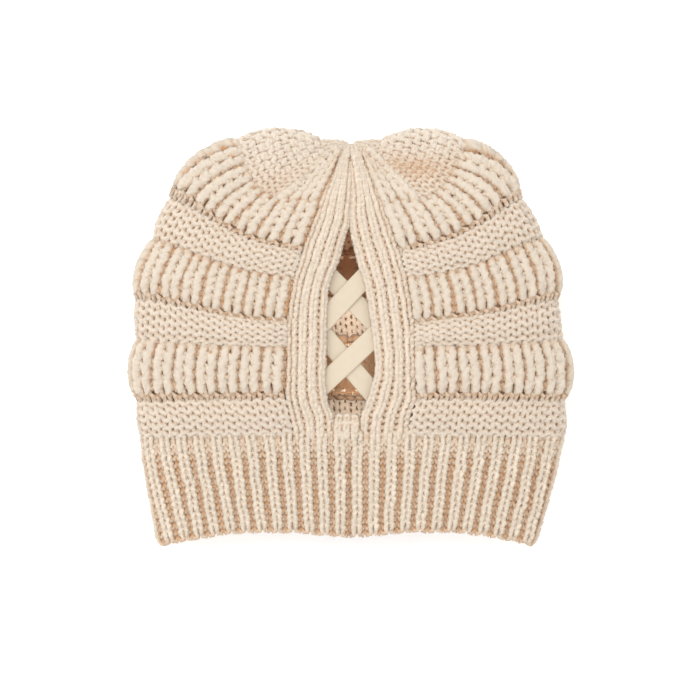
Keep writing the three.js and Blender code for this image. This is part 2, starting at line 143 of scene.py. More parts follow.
def wall_point(v, x, level):
    """Point on the middle of the wall: x across, level 1 on the upper panel and -1 on the lower."""
    half, side = column("half_width", v), column("side_y", v)
    low, high = column("low", v), column("high", v)
    fold = low + FOLD_HEIGHT_SHARE * (high - low)
    square = column("square", v)
    reach = np.minimum(np.abs(x) / half, 1)
    upper = level >= 0
    shift = np.maximum(1 - reach**square, 0) ** (1 + FOLD_TURN / square)
    y = side + (np.where(upper, column("back_y", v), column("front_y", v)) - side) * shift
    z = fold + level * np.where(upper, high - fold, fold - low)
    dip = CUFF_EDGE_DIP * np.maximum(1 - v, 0) * np.exp(-((reach / CUFF_EDGE_DIP_REACH) ** 2))
    y = y - np.where(upper, dip, 0)
    for dent in DENTS:
        z = z - np.where(upper, dent[2] * level * pressed(x, y, dent), 0)
    return np.stack(np.broadcast_arrays(x + column("lean", v) * reach**LEAN_POWER, y, z), -1)


def upper_point(v, x):
    """Point on the middle of the upper panel's wall."""
    reach = np.minimum(np.abs(x) / column("half_width", v), 1)
    return wall_point(v, x, (1 - reach**UPPER_ROUNDNESS) ** (1 / UPPER_ROUNDNESS))


def hollow_shade(points):
    """How much painted shade, as millimetres of depth, darkens yarn in the hollows of the crown."""
    shade = np.zeros(len(points))
    x, y, z = points.T
    for dent in DENTS[:2]:
        shade += HOLLOW_SHADE * dent[2] * pressed(x, y, dent) * (z > HOLLOW_FLOOR)
    return shade


def over(x, y, first=0.6, last=GATHER_CLOSE, halvings=28):
    """Point of the upper panel above each x, y, between two courses."""
    low, high = np.full(np.shape(x), first), np.full(np.shape(x), last)
    for _ in range(halvings):
        middle = (low + high) / 2
        short = upper_point(middle, x)[..., 1] < y
        low, high = np.where(short, middle, low), np.where(short, high, middle)
    point = upper_point((low + high) / 2, x)
    point[..., 1] = y
    return point


def border_half(v):
    """Half the width of the border round the opening, with the opening."""
    return column("band_half", v)


def crown_ribs_half(v):
    """How far from the middle the crown's ribs reach."""
    at, half = zip(*CROWN_RIBS)
    return np.interp(v, at, half)


def spaced(line, shares):
    """Points at shares of a line's length."""
    length = np.concatenate([[0], np.cumsum(np.linalg.norm(np.diff(line, axis=0), axis=1))])
    return np.stack([np.interp(shares * length[-1], length, values) for values in line.T], -1)


def course_points(v, edge_at, shares):
    """Points of one course at shares of its length, from the right of the edge round to its left."""
    half = float(column("half_width", v))
    start = math.asin(min(float(edge_at(v)) / half, 1) ** (UPPER_ROUNDNESS / 2)) if edge_at else 0
    turn = np.linspace(start, 2 * math.pi - start, COURSE_STEPS)
    across, up = np.sin(turn), np.cos(turn)
    power = 2 / np.where(up >= 0, UPPER_ROUNDNESS, LOWER_ROUNDNESS)
    x = half * np.sign(across) * np.abs(across) ** power
    return spaced(wall_point(np.full_like(x, v), x, np.sign(up) * np.abs(up) ** power), shares)


def unit(vectors):
    return vectors / np.maximum(np.linalg.norm(vectors, axis=-1, keepdims=True), 1e-12)


class Panel:
    """A patch of knitting as a grid of points: rows up the cap by columns along its courses."""

    def __init__(self, points, closed=False):
        self.points = points
        self.closed = closed
        rows, columns = points.shape[:2]
        if closed:
            ring = np.concatenate([points[:, -2:-1], points, points[:, 1:2]], 1)
            self.along = np.gradient(ring, axis=1)[:, 1:-1] * (columns - 1)
        else:
            self.along = np.gradient(points, axis=1) * (columns - 1)
        self.up = np.gradient(points, axis=0) * (rows - 1)
        self.normal = unit(np.cross(self.along, self.up))

    def grid(self):
        """Row and share along the course, from 0 to 1, at each point."""
        rows, columns = self.points.shape[:2]
        return np.meshgrid(np.linspace(0, 1, rows), np.linspace(0, 1, columns), indexing="ij")

    def moved(self, distance):
        """The panel moved out of the wall by one distance, or by one for each grid point."""
        shift = np.broadcast_to(distance, self.points.shape[:2])[..., None]
        return Panel(self.points + self.normal * shift, self.closed)

    def evened(self):
        """The same surface with its rows at equal steps up each column."""
        even = np.linspace(0, 1, len(self.points))
        columns = [spaced(self.points[:, j], even) for j in range(self.points.shape[1])]
        return Panel(np.stack(columns, 1), self.closed)

    def at(self, field, row, share):
        """A field of the grid, blended between its points."""
        rows, columns = self.points.shape[:2]
        r = np.clip(row, 0, 1) * (rows - 1)
        c = np.clip(share, 0, 1) * (columns - 1)
        i, j = np.minimum(r.astype(int), rows - 2), np.minimum(c.astype(int), columns - 2)
        a, b = (r - i)[..., None], (c - j)[..., None]
        return (
            field[i, j] * (1 - a) * (1 - b) + field[i + 1, j] * a * (1 - b)
            + field[i, j + 1] * (1 - a) * b + field[i + 1, j + 1] * a * b
        )

    def beyond(self, row, share):
        """Points of the surface, run on straight past its first and last rows."""
        inside = np.clip(row, 0, 1)
        past = (row - inside)[..., None]
        return self.at(self.points, inside, share) + self.at(self.up, inside, share) * past


def course_panel(start, end, edge_at, rows=41, columns=481):
    """The part of the wall between two changes of stitch."""
    shares = np.linspace(0, 1, columns)
    points = [course_points(v, edge_at, shares) for v in np.linspace(start, end, rows)]
    return Panel(np.array(points), closed=edge_at is None)


# Meshes

# What each point of a centre line carries besides its place
LINE_VECTORS = ("side", "wale", "bend", "outward")
LINE_VALUES = ("phase", "face", "girth", "level")


def mesh_of_lines(name, lines):
    """A mesh of yarn centre lines. Each line is a dict of arrays, in millimetres, and may be closed."""
    sizes = [len(line["points"]) for line in lines]
    mesh = bpy.data.meshes.new(name)
    mesh.vertices.add(sum(sizes))
    mesh.vertices.foreach_set("co", (np.concatenate([line["points"] for line in lines]) * MM).ravel())
    edges, start = [], 0
    for line, size in zip(lines, sizes):
        chain = np.arange(start, start + size)
        edges.append(np.stack([chain[:-1], chain[1:]], -1))
        if line["closed"]:
            edges.append(np.array([[chain[-1], chain[0]]]))
        start += size
    edges = np.concatenate(edges)
    mesh.edges.add(len(edges))
    mesh.edges.foreach_set("vertices", edges.ravel())
    for key in LINE_VECTORS:
        values = np.concatenate([line[key] for line in lines]) * (1 if key == "outward" else MM)
        mesh.attributes.new(key, "FLOAT_VECTOR", "POINT").data.foreach_set("vector", values.ravel())
    for key in LINE_VALUES:
        values = np.concatenate([line[key] for line in lines]) * (MM if key == "level" else 1)
        mesh.attributes.new(key, "FLOAT", "POINT").data.foreach_set("value", values)
    return mesh


def smooth_mesh(name, points, faces):
    """A smoothly shaded mesh of points in millimetres."""
    mesh = bpy.data.meshes.new(name)
    mesh.from_pydata((points.reshape(-1, 3) * MM).tolist(), [], faces)
    mesh.polygons.foreach_set("use_smooth", np.ones(len(mesh.polygons), bool))
    return mesh


def quads(lines, next_lines, columns, closed):
    """Faces between pairs of point lines, each given by the number of its first point."""
    j = np.arange(columns if closed else columns - 1)
    k = (j + 1) % columns
    a, b = lines[:, None], next_lines[:, None]
    return np.stack([a + j, a + k, b + k, b + j], -1).reshape(-1, 4).tolist()


def sheet_mesh(outer, inner, closed):
    """A thin closed sheet between two grids of points. A closed one joins its first and last columns.

    Its attribute "inner" is 1 on the inner grid, where the backing's material paints a darker shade.
    """
    rows, columns = outer.shape[:2]
    if closed:
        outer, inner, columns = outer[:, :-1], inner[:, :-1], columns - 1
    points = np.concatenate([outer.reshape(-1, 3), inner.reshape(-1, 3)])
    points[:, 2] = np.maximum(points[:, 2], LOWEST_BACKING)
    shift = rows * columns
    starts = np.arange(rows) * columns
    ring = np.concatenate([starts, shift + starts[::-1]])
    faces = quads(ring, np.roll(ring, -1), columns, closed)
    if not closed:
        for a in range(0, shift - columns, columns):
            b = a + columns
            faces.append((b, shift + b, shift + a, a))
            a, b = a + columns - 1, b + columns - 1
            faces.append((a, shift + a, shift + b, b))
    mesh = smooth_mesh("backing", points, faces)
    inner_side = mesh.attributes.new("inner", "FLOAT", "POINT").data
    inner_side.foreach_set("value", np.repeat((0.0, 1.0), shift))
    return mesh


def backing_mesh(panel, rows, columns, depth=BACKING_DEPTH, lift=None, first=0.0):
    """A sheet of painted shade amid the knitting's loops that closes the gaps between them."""
    row, share = np.meshgrid(np.linspace(first, 1, rows), np.linspace(0, 1, columns), indexing="ij")
    middle = panel.at(panel.points, row, share)
    normal = unit(panel.at(panel.normal, row, share))
    deep = np.full(row.shape, float(depth)) + (lift(row, share) if lift else 0)
    outer = middle + normal * (deep + BACKING_THICKNESS / 2)[..., None]
    inner = middle + normal * (deep - BACKING_THICKNESS / 2)[..., None]
    return sheet_mesh(outer, inner, panel.closed)


def new_object(name, mesh):
    piece = bpy.data.objects.new(name, mesh)
    bpy.context.scene.collection.objects.link(piece)
    return piece


def join(pieces, name):
    """One object of several, in the order given."""
    for other in bpy.context.selected_objects:
        other.select_set(False)
    for piece in pieces:
        piece.select_set(True)
    bpy.context.view_layer.objects.active = pieces[0]
    bpy.ops.object.join()
    pieces[0].name = pieces[0].data.name = name
    return pieces[0]


# Courses of stitches

# For each kind of stitch: whether it shows its legs (1) or its bumps (-1) outside, how thick its
# yarn is, how far it stands out of the middle of the fabric in millimetres, how much deeper its painted
# shade is, and its points
STITCHES = {
    "cuff_knit": (1, 1.0, KNIT_LIFT, 0.0, 12),
    "cuff_purl": (-1, 0.78, -2.2, 0.0, 7),
    "rib_knit": (1, 1.0, KNIT_LIFT, 0.0, 16),
    "rib_purl": (-1, 0.5, -0.6, 1.9, 7),
    "rib_foot": (1, 0.58, 2.2, 1.9, 8),
    "purl": (-1, 1.0, 0.0, 0.0, 14),
    "knit": (1, 1.0, 0.0, 0.0, 12),
}
# How far stitches stray from their places: along their width, up their height and out of the fabric
UNEVENNESS = (0.035, 0.05, 0.12)
# The share of a stitch, at either end, over which each of its values turns into its neighbour's
EASE = {"face": 0.22, "girth": 0.3, "lift": 0.45, "shade": 0.3, "uneven": 0.5}
FIT_LIMITS = (0.04, 2.2)


def smooth_step(t):
    t = np.clip(t, 0, 1)
    return t * t * (3 - 2 * t)


class Stitches:
    """The stitches of a course: a repeat of kinds with a width each, worked a number of times."""

    def __init__(self, kinds, widths, times=1, closed=False):
        self.closed = closed
        kinds, widths = kinds * times, np.array(widths * times, float)
        self.widths = widths / widths.sum()
        self.starts = np.cumsum(self.widths) - self.widths
        self.face, self.girth, self.lift, self.shade, counts = (
            np.array([STITCHES[kind][k] for kind in kinds], float) for k in range(5))
        counts = counts.astype(int)
        self.which = np.repeat(np.arange(len(kinds)), counts)
        first = (np.cumsum(counts) - counts)[self.which]
        self.inside = (np.arange(counts.sum()) - first) / counts[self.which]

    def eased(self, values, zone, which=None, inside=None):
        """A value of each stitch, eased into its neighbours' near both ends."""
        which = self.which if which is None else which
        inside = self.inside if inside is None else inside
        before, after = np.roll(values, 1), np.roll(values, -1)
        if not self.closed:
            before[0], after[-1] = values[0], values[-1]
        ease = smooth_step(np.minimum(inside, 1 - inside) / zone)
        other = np.where(inside < 0.5, before[which], after[which])
        return values[which] * (0.5 + 0.5 * ease) + other * (0.5 - 0.5 * ease)

    def lift_at(self, share):
        """How far the fabric stands out at any share of the course."""
        which = np.clip(np.searchsorted(self.starts, share, side="right") - 1, 0, len(self.starts) - 1)
        inside = np.clip((share - self.starts[which]) / self.widths[which], 0, 1)
        return self.eased(self.lift, EASE["lift"], which, inside)

    def line(self, panel, row, height, draw, relax=1.0, fit=None):
        """The yarn's centre line through one course of a panel, before it is looped.

        With fit, a stitch's nominal width and height, the yarn is as thick as the stitches are large.
        """
        which, inside = self.which, self.inside
        width = self.widths[which]
        share, phase = self.starts[which] + width * inside, 2 * math.pi * inside
        face, girth, lift, shade = (
            self.eased(getattr(self, key), EASE[key]) for key in ("face", "girth", "lift", "shade"))
        lift = lift * relax
        uneven = draw.normal(0, 1, (3, len(self.widths)))
        uneven = np.stack([self.eased(values, EASE["uneven"]) for values in uneven], -1)
        if not self.closed:
            share, phase = np.append(share, 1.0), np.append(phase, 2 * math.pi)
            face, girth, lift, shade, width = (
                np.append(a, a[-1]) for a in (face, girth, lift, shade, width))
            uneven = np.concatenate([uneven, uneven[-1:]])
        rows = np.full_like(share, row)
        outward = unit(panel.at(panel.normal, rows, share))
        side = panel.at(panel.along, rows, share) * width[:, None]
        points = panel.at(panel.points, rows, share)
        above, below = (panel.beyond(rows + step, share) for step in (height, -height))
        wale, bend = (above - below) / 2, (above + below) / 2 - points
        points = points + outward * lift[:, None]
        if fit:
            across = np.linalg.norm(side, axis=1) / width * self.widths.mean()
            area = across * np.linalg.norm(wale, axis=1)
            girth = girth * np.sqrt(np.clip(area / (fit[0] * fit[1]), *FIT_LIMITS))
        for k, vector in enumerate((side, wale, outward)):
            points = points + vector * uneven[:, k:k + 1] * UNEVENNESS[k]
        # level is how far the stitch stands out, less its painted shade; it only colours the yarn
        return {
            "points": points, "side": side, "wale": wale, "bend": bend, "outward": outward,
            "phase": phase, "face": face, "girth": girth,
            "level": lift - shade - hollow_shade(points), "closed": self.closed}


def even_courses(stitches, panel, courses, draw, fit=None):
    """Courses at equal steps up the whole panel."""
    return [stitches.line(panel, row, 1 / courses, draw, fit=fit) for row in rows_between(courses)]


def worked_flat(lines):
    """One yarn worked to and fro through courses that end at both edges."""
    return {
        **{key: np.concatenate([line[key][::1 if i % 2 == 0 else -1] for i, line in enumerate(lines)])
           for key in ("points", *LINE_VECTORS, *LINE_VALUES)},
        "closed": False}


def rows_between(count):
    return (np.arange(count) + 0.5) / count


def roll(row, fullness):
    """How far a roll stands out at a row across it, from 0 at its edges to 1 at its crest."""
    return np.sin(math.pi * np.clip(row, 0, 1)) ** fullness


def rounded(t):
    """A quarter circle up from 0 to 1."""
    t = np.clip(t, 0, 1)
    return np.sqrt(t * (2 - t))


def curled(t):
    """A curl that steepens from 0 to 1."""
    return np.clip(t, 0, 1) ** 2


# Nodes

class Link:
    """An output of a node. Arithmetic on it adds further nodes; a vector is scaled by its products."""

    def __init__(self, graph, socket):
        self.graph, self.socket = graph, socket
        self.is_vector = socket.type in ("VECTOR", "RGBA")

    def math(self, operation, *others):
        return self.graph.math(operation, self, *others)

    def __add__(self, other):
        return self.math("ADD", other)

    __radd__ = __add__

    def __sub__(self, other):
        return self.math("SUBTRACT", other)

    def __rsub__(self, other):
        return self.graph.math("SUBTRACT", other, self)

    def __mul__(self, other):
        return self.math("SCALE" if self.is_vector else "MULTIPLY", other)

    def __truediv__(self, other):
        return self.math("DIVIDE", other)

    def __pow__(self, other):
        return self.math("POWER", other)

    def dot(self, other):
        return self.math("DOT_PRODUCT", other)

    def between(self, low, high):
        return self.math("MAXIMUM", low).math("MINIMUM", high)


class Graph:
    """A node tree whose nodes are added and joined by short calls."""

    def __init__(self, tree):
        self.tree = tree

    def set(self, socket, value):
        if isinstance(value, Link):
            self.tree.links.new(value.socket, socket)
        else:
            socket.default_value = value

    def fill(self, node, **sockets):
        """Values or links for a node's inputs, by name with underscores."""
        for key, value in sockets.items():
            names = (s for s in node.inputs if s.enabled and s.name.replace(" ", "_").lower() == key)
            self.set(next(names), value)

    def add(self, kind, output=0, settings=None, **sockets):
        """One output of a new node."""
        node = self.tree.nodes.new(kind)
        for key, value in (settings or {}).items():
            setattr(node, key, value)
        self.fill(node, **sockets)
        return Link(self, node.outputs[output])

    def math(self, operation, first, *others):
        vector = isinstance(first, Link) and first.is_vector
        node = self.tree.nodes.new("ShaderNodeVectorMath" if vector else "ShaderNodeMath")
        node.operation = operation
        slots = (node.inputs[0], node.inputs["Scale"]) if operation == "SCALE" else node.inputs
        for socket, value in zip(slots, (first, *others)):
            self.set(socket, value)
        return Link(self, node.outputs["Value" if operation == "DOT_PRODUCT" else 0])

    def parts(self, vector):
        """The x, y and z of a vector."""
        node = self.tree.nodes.new("ShaderNodeSeparateXYZ")
        self.set(node.inputs[0], vector)
        return [Link(self, socket) for socket in node.outputs]


class ShapeTree(Graph):
    """A Geometry Nodes tree with inputs of its own."""

    def __init__(self, name, inputs):
        super().__init__(bpy.data.node_groups.new(name, "GeometryNodeTree"))
        face = self.tree.interface
        for way in ("OUTPUT", "INPUT"):
            face.new_socket("Geometry", in_out=way, socket_type="NodeSocketGeometry")
        for label, default in inputs.items():
            kind = {int: "Int", float: "Float"}.get(type(default), "Material")
            item = face.new_socket(label, in_out="INPUT", socket_type="NodeSocket" + kind)
            if default is not None:
                item.default_value = default
        outputs = self.tree.nodes.new("NodeGroupInput").outputs
        self.given = {socket.name: Link(self, socket) for socket in outputs if socket.name}
        self.output = self.tree.nodes.new("NodeGroupOutput")

    def attribute(self, name, kind="FLOAT"):
        node = self.tree.nodes.new("GeometryNodeInputNamedAttribute")
        node.data_type = kind
        node.inputs["Name"].default_value = name
        return Link(self, next(s for s in node.outputs if s.name == "Attribute" and s.enabled))

    def store(self, geometry, name, value):
        kind = "FLOAT_VECTOR" if value.is_vector else "FLOAT"
        return self.add("GeometryNodeStoreNamedAttribute", 0, {"data_type": kind, "domain": "POINT"},
                        geometry=geometry, name=name, value=value)

    def position(self):
        return self.add("GeometryNodeInputPosition")


# A course's centre line becomes looped yarn

YARN_TREE = "Looped yarn"
YARN_INPUTS = {
    "Yarn radius": 0.0015, "Plies": 3, "Ply depth": 0.12, "Ply twist": 560.0,
    "Loop lean": 0.18, "Leg gather": 0.04, "Loop height": 0.9, "Loop relief": 0.001,
    "Pit depth": 0.0, "Pit shade": 1.0, "Pit fineness": 1.0, "Pit reach": 0.0,
    "Inside shade": 0.0, "Slack": 0.0016, "Slack scale": 55.0, "Material": None,
}
# How sharply yarn counts as facing a way, and how far it may lean down and still count as facing up where
# shade is painted inside the cap
FACING_SHARPNESS, INSIDE_LEAN = 3.0, 0.4
# In metres, how far from the middle and how high shade is painted on the inside, and over what length it
# fades
INSIDE_WIDE, INSIDE_WIDE_FADE = 0.06, 0.02
INSIDE_HIGH, INSIDE_HIGH_FADE = 0.024, 0.004


def yarn_tree():
    """Bends each centre line into stitches and sweeps the yarn along it."""
    tree = ShapeTree(YARN_TREE, YARN_INPUTS)
    given = tree.given
    phase, face, girth, level = (tree.attribute(key) for key in LINE_VALUES)
    side, wale, bend, outward = (tree.attribute(key, "FLOAT_VECTOR") for key in LINE_VECTORS)

    # Each stitch's loop
    twice = phase * 2.0
    lean = twice.math("SINE") * given["Loop lean"] + phase.math("SINE") * given["Leg gather"]
    rise = phase.math("COSINE") * given["Loop height"]
    depth = twice.math("COSINE") * face * given["Loop relief"]
    place = tree.position()
    loose = tree.add("ShaderNodeTexNoise", "Color", vector=place, scale=given["Slack scale"], detail=1.0)
    loose = (loose - (0.5, 0.5, 0.5)) * given["Slack"]
    shift = side * lean - wale * rise + bend * (rise * rise) - outward * depth
    based = tree.store(given["Geometry"], "base", place + loose)
    looped = tree.add("GeometryNodeSetPosition", geometry=based, offset=shift + loose)

    # The plied yarn swept along it
    curve = tree.add("GeometryNodeMeshToCurve", mesh=looped)
    length = tree.add("GeometryNodeSplineParameter", "Length")
    curve = tree.store(curve, "along", length)
    curve = tree.add("GeometryNodeSetCurveTilt", curve=curve, tilt=length * given["Ply twist"])
    plies = tree.add("GeometryNodeCurveStar", points=given["Plies"], outer_radius=1.0,
                     inner_radius=1.0 - given["Ply depth"])
    plies = tree.store(plies, "around", tree.position())
    yarn = tree.add("GeometryNodeCurveToMesh", curve=curve, profile_curve=plies,
                    scale=girth * given["Yarn radius"], fill_caps=True)

    # How far it stands out of the fabric, which its material turns into painted shade, with more painted
    # shade where it faces up inside the cap near the opening
    away = tree.position() - tree.attribute("base", "FLOAT_VECTOR")
    normal = tree.add("GeometryNodeInputNormal")
    facing, upward = (
        (normal.dot(way) * FACING_SHARPNESS).between(-1.0, 1.0) for way in (outward, (0.0, 0.0, 1.0)))
    crest = (away.dot(outward) + level) * facing / (given["Loop relief"] + given["Yarn radius"])
    painted_inside_shade = (upward + INSIDE_LEAN).math("MAXIMUM", 0.0)
    x, _, z = tree.parts(tree.position())
    for distance, limit, fade in (
            (x.math("ABSOLUTE"), INSIDE_WIDE, INSIDE_WIDE_FADE), (z, INSIDE_HIGH, INSIDE_HIGH_FADE)):
        painted_inside_shade = painted_inside_shade * ((limit - distance) / fade).between(0.0, 1.0)
    yarn = tree.store(yarn, "crest", crest - painted_inside_shade * given["Inside shade"])

    # The pits between stitches: they sink the yarn a little and carry a painted shade
    share_across, share_up = (away.dot(way) / way.dot(way) for way in (side, wale))
    across, up = phase + share_across * (2 * math.pi), share_up * (2 * math.pi)
    across_wave = across.math("COSINE")
    middle = (1.0 - across_wave) * 0.5
    knit_pit = middle ** given["Pit fineness"] * ((up.math("COSINE") + 1.0) * 0.5)
    knit_pit = knit_pit * face.math("MAXIMUM", 0.0)
    purl_pit = across_wave * up.math("SINE") * face.math("MINIMUM", 0.0)
    open_side = (facing + given["Pit reach"]).between(0.0, 1.0)
    pit = knit_pit.math("MAXIMUM", purl_pit).math("MAXIMUM", 0.0) * open_side
    yarn = tree.store(yarn, "pit", pit * given["Pit shade"])
    sink = pit ** 3.0 * given["Pit depth"]
    yarn = tree.add("GeometryNodeSetPosition", geometry=yarn, offset=outward * (sink * -1.0))

    # Nothing below the floor
    x, y, z = tree.parts(tree.position())
    place = tree.add("ShaderNodeCombineXYZ", x=x, y=y, z=z.math("MAXIMUM", 0.0))
    yarn = tree.add("GeometryNodeSetPosition", geometry=yarn, position=place)
    yarn = tree.add("GeometryNodeSetShadeSmooth", geometry=yarn)
    yarn = tree.add("GeometryNodeRealizeInstances", geometry=yarn)
    yarn = tree.add("GeometryNodeSetMaterial", geometry=yarn, material=given["Material"])
    tree.fill(tree.output, geometry=yarn)
    return tree.tree


def with_tree(mesh, tree, values, name):
    """The plain mesh that a tree makes of a mesh, as a new object."""
    source = new_object(name + "_lines", mesh)
    modifier = source.modifiers.new("shape", "NODES")
    modifier.node_group = tree
    for item in tree.interface.items_tree:
        if item.in_out == "INPUT" and item.name in values:
            modifier[item.identifier] = values[item.name]
    bpy.context.view_layer.update()
    graph = bpy.context.evaluated_depsgraph_get()
    made = bpy.data.meshes.new_from_object(source.evaluated_get(graph), depsgraph=graph)
    source.modifiers.remove(modifier)
    bpy.data.objects.remove(source)
    if not len(made.polygons):
        raise RuntimeError(name + ": the tree made nothing")
    return new_object(name, made)


# Materials

# Painted shade: between which crests the yarn turns from its painted crevice shade to its own colour, between
# which that shade turns from its deepest painted shade, and between which values a pit's painted shade
# darkens
CREST_FADE, CREVICE_FADE, PIT_FADE = (-0.45, 0.85), (-1.6, -0.5), (0.6, 0.94)
# Shares of the crevice colour kept by the deepest painted shade and by the pits' painted shade
DEEPEST_SHARE, PIT_SHADE_SHARE = 0.4, 0.5
# The backing's random grain, and how much of its colour its inner side keeps as darker painted shade
BACKING_GRAIN_SHARE, BACKING_INSIDE_SHADE_SHARE = 0.78, 0.45
STRAP_CLOUD_SHARE, FLOOR_GRAIN_SHARE = 0.86, 0.995
FLOOR_GLOW = 0.25


def tone(colour, share=1.0):
    return (*(share * value for value in colour), 1)


class Shader(Graph):
    """A material with one principled surface."""

    def __init__(self, name):
        self.material = bpy.data.materials.new(name)
        self.material.use_nodes = True
        super().__init__(self.material.node_tree)

    def finish(self, **inputs):
        self.fill(self.tree.nodes["Principled BSDF"], **inputs)
        return self.material

    def attribute(self, name, output="Fac"):
        return self.add("ShaderNodeAttribute", output, {"attribute_name": name})

    def mix(self, share, low, high):
        return self.add("ShaderNodeMix", 2, {"data_type": "RGBA"}, factor=share, a=low, b=high)

    def fade(self, value, limits, share=1.0):
        """A smooth step from 0 to a share between two limits."""
        return self.add("ShaderNodeMapRange", 0, {"interpolation_type": "SMOOTHSTEP"}, value=value,
                        from_min=limits[0], from_max=limits[1], to_max=share)

    def noise(self, scale, detail=2.0):
        place = self.add("ShaderNodeTexCoord", "Object")
        return self.add("ShaderNodeTexNoise", 0, vector=place, scale=scale, detail=detail)

    def bump(self, height, strength, distance):
        return self.add("ShaderNodeBump", height=height, strength=strength, distance=distance)


def yarn_material(name, crest_colour, painted_crevice_shade, painted_pit_shade):
    """Soft plied yarn: pale on its crests, with painted warm shade in its crevices, deeper painted shade
    below them and painted shade in its pits, with twisted plies and fibres.
    """
    shader = Shader(name)
    crest, pit, along = (shader.attribute(key) for key in ("crest", "pit", "along"))
    crevice_shade = shader.mix(
        shader.fade(crest, CREVICE_FADE), tone(painted_crevice_shade, DEEPEST_SHARE), tone(painted_crevice_shade))
    base = shader.mix(shader.fade(crest, CREST_FADE), crevice_shade, tone(crest_colour))
    base = shader.mix(shader.fade(pit, PIT_FADE, painted_pit_shade), base, tone(painted_crevice_shade, PIT_SHADE_SHARE))
    dull = shader.mix(0.12, tone(crest_colour), tone(painted_crevice_shade))
    patches = (shader.noise(90.0) - 0.35) * 0.6
    x, y, _ = shader.parts(shader.attribute("around", "Vector"))
    strands = (y.math("ARCTAN2", x) * 6.0 + along * 2400.0).math("SINE")
    fibres = shader.noise(2200.0, 3.0)
    return shader.finish(
        base_color=shader.mix(patches, base, dull), normal=shader.bump(strands * 0.25 + fibres, 0.5, 0.0004),
        roughness=0.92, specular_ior_level=0.2, sheen_weight=0.2, sheen_roughness=0.6)


def backing_material(name, colour):
    """A sheet painted with the shade deep in the knitting, with darker painted shade on its side inside the
    cap.
    """
    shader = Shader(name)
    grain = shader.noise(700.0)
    outer = shader.mix(grain, tone(colour, BACKING_GRAIN_SHARE), tone(colour))
    return shader.finish(
        base_color=shader.mix(shader.attribute("inner"), outer, tone(colour, BACKING_INSIDE_SHADE_SHARE)),
        normal=shader.bump(grain, 0.6, 0.0006), roughness=1.0, specular_ior_level=0.1)


def strap_material(colour):
    """Soft covered elastic: fine cross ribs and a little sheen."""
    shader = Shader("covered_elastic")
    x, y, _ = shader.parts(shader.add("ShaderNodeUVMap", 0, {"uv_map": "strap"}))
    weave = (x * 7000.0).math("SINE") * (y * 9000.0).math("SINE")
    cloud = shader.noise(260.0)
    return shader.finish(
        base_color=shader.mix(cloud * 0.5, tone(colour), tone(colour, STRAP_CLOUD_SHARE)),
        normal=shader.bump(weave + cloud, 0.25, 0.0002),
        roughness=0.85, specular_ior_level=0.2, sheen_weight=0.04, sheen_roughness=0.45)


def floor_material(colour):
    """A pale floor that gives a little light of its own."""
    shader = Shader("studio_floor")
    return shader.finish(
        base_color=shader.mix(shader.noise(3.0), tone(colour), tone(colour, FLOOR_GRAIN_SHARE)),
        roughness=0.9, specular_ior_level=0.1, emission_color=(1, 1, 1, 1), emission_strength=FLOOR_GLOW)


# Settings

def length(name, description, default):
    return FloatProperty(name=name, description=description, default=default, unit="LENGTH")


def colour(name, description, default):
    return FloatVectorProperty(
        name=name, description=description, subtype="COLOR", default=default, min=0, max=1)


class CapSettings(bpy.types.PropertyGroup):
    cuff_yarn: length("Cuff yarn", "Radius of the cuff's yarn", 0.00165)
    rib_yarn: length("Rib yarn", "Radius of the wide ribs' brushed yarn", 0.00255)
    welt_yarn: length("Welt yarn", "Radius of the welts' yarn", 0.00172)
    crown_yarn: length("Crown yarn", "Radius of the crown welt's yarn", 0.0014)
    border_yarn: length("Border yarn", "Radius of the border's yarn", 0.00165)
    cuff_ribs: IntProperty(name="Cuff ribs", description="Ribs round the cuff", default=50)
    body_ribs: IntProperty(name="Body ribs", description="Wide ribs round the two lower bands", default=36)
    upper_ribs: IntProperty(name="Upper ribs", description="Wide ribs round the upper band", default=28)
    cuff_courses: IntProperty(name="Cuff courses", description="Courses up the cuff", default=15)
    strap_width: length("Strap width", "Width of the lacing straps", 0.0104)
    strap_thickness: length("Strap thickness", "Thickness of the lacing straps", 0.0012)
    # The yarn is one cream throughout: the pieces' crest colours differ only as painted light, each made
    # lighter or darker to even out the light its stitches catch
    cuff_crest: colour("Cuff crest", "Colour on the crests of the cuff's yarn", (0.83, 0.73, 0.60))
    rib_crest: colour("Rib crest", "Colour on the crests of the wide ribs' yarn", (0.765, 0.665, 0.545))
    purl_crest: colour("Purl crest", "Colour on the crests of the welts' yarn", (0.785, 0.685, 0.57))
    border_crest: colour("Border crest", "Colour on the crests of the border's yarn", (0.84, 0.73, 0.60))
    # The crevice colour is painted warm shade in the yarn's crevices
    painted_crevice_shade: colour("Yarn crevice", "Colour in the yarn's crevices", (0.62, 0.35, 0.17))
    # How dark the painted shade in the pits between stitches is
    painted_pit_shade: FloatProperty(
        name="Pit share", description="How dark the pits between stitches are", default=0.85)
    # Colours of the backing sheets: painted shade deep between the stitches
    rib_shade: colour("Rib shade", "Colour deep between the ribs", (0.68, 0.40, 0.22))
    purl_shade: colour("Purl shade", "Colour deep between close stitches", (0.40, 0.265, 0.16))
    strap_colour: colour("Strap", "Colour of the lacing straps", (0.75, 0.645, 0.50))
    floor_colour: colour("Floor", "Colour of the studio floor", (0.98, 0.98, 0.98))


# Pieces. Reliefs and the sizes in the operators are in millimetres

def yarn_shape(relief, **inputs):
    """The yarn tree's inputs for one piece, by name with underscores."""
    values = {key.replace("_", " ").capitalize(): value for key, value in inputs.items()}
    return {**values, "Loop relief": relief * MM}


def dress(piece, node):
    """Put a finished piece in the place of its solid."""
    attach(piece, BODY)
    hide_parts(node)


